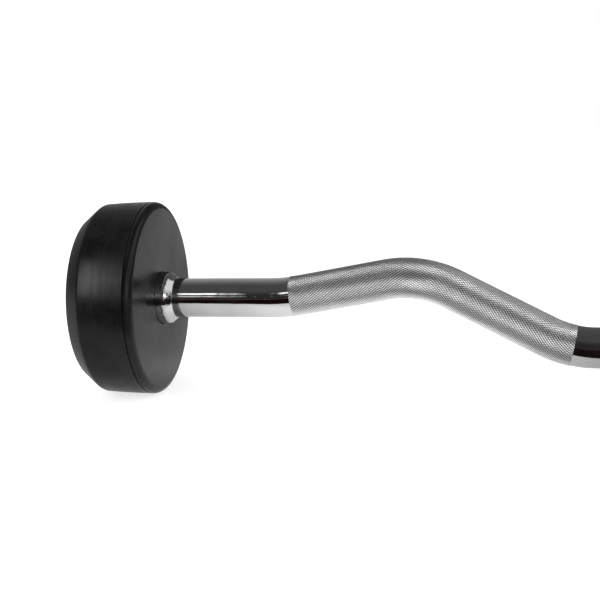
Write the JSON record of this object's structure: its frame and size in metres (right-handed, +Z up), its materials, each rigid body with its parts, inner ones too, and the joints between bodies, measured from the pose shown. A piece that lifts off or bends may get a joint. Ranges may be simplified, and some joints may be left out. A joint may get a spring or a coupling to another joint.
{
  "type": "fixed curl barbell",
  "caption": "Fixed barbell with a cranked chromed bar, knurled ramps, chamfered collars and round rubber-covered heads, for arm curls.",
  "frame": {"origin": "on the ground, under the middle of the bar", "axes": "+X along the bar, +Z up, with the middle of the bar hanging below the sleeves"},
  "size_m": [0.9002, 0.1498, 0.1498],
  "materials": {
    "chrome": "polished chrome, diamond knurl on the ramps",
    "head_rubber": "smooth moulded black rubber, satin",
    "core_steel": "machined steel",
    "fastener_steel": "blackened steel",
    "cap_plastic": "fine-grained black plastic"
  },
  "bodies": {
    "root": {"bar": "chrome", "collar_left": "chrome", "collar_right": "chrome", "inner_cover_left": "head_rubber", "inner_cover_right": "head_rubber", "head_casing_left": "head_rubber", "head_casing_right": "head_rubber", "core_plate_inner_left": "core_steel", "core_plate_inner_right": "core_steel", "core_plate_outer_left": "core_steel", "core_plate_outer_right": "core_steel", "key_left": "core_steel", "key_right": "core_steel", "retaining_washer_left": "fastener_steel", "retaining_washer_right": "fastener_steel", "spring_washer_left": "fastener_steel", "spring_washer_right": "fastener_steel", "end_bolt_left": "fastener_steel", "end_bolt_right": "fastener_steel", "end_cap_left": "cap_plastic", "end_cap_right": "cap_plastic"}
  },
  "joints": []
}
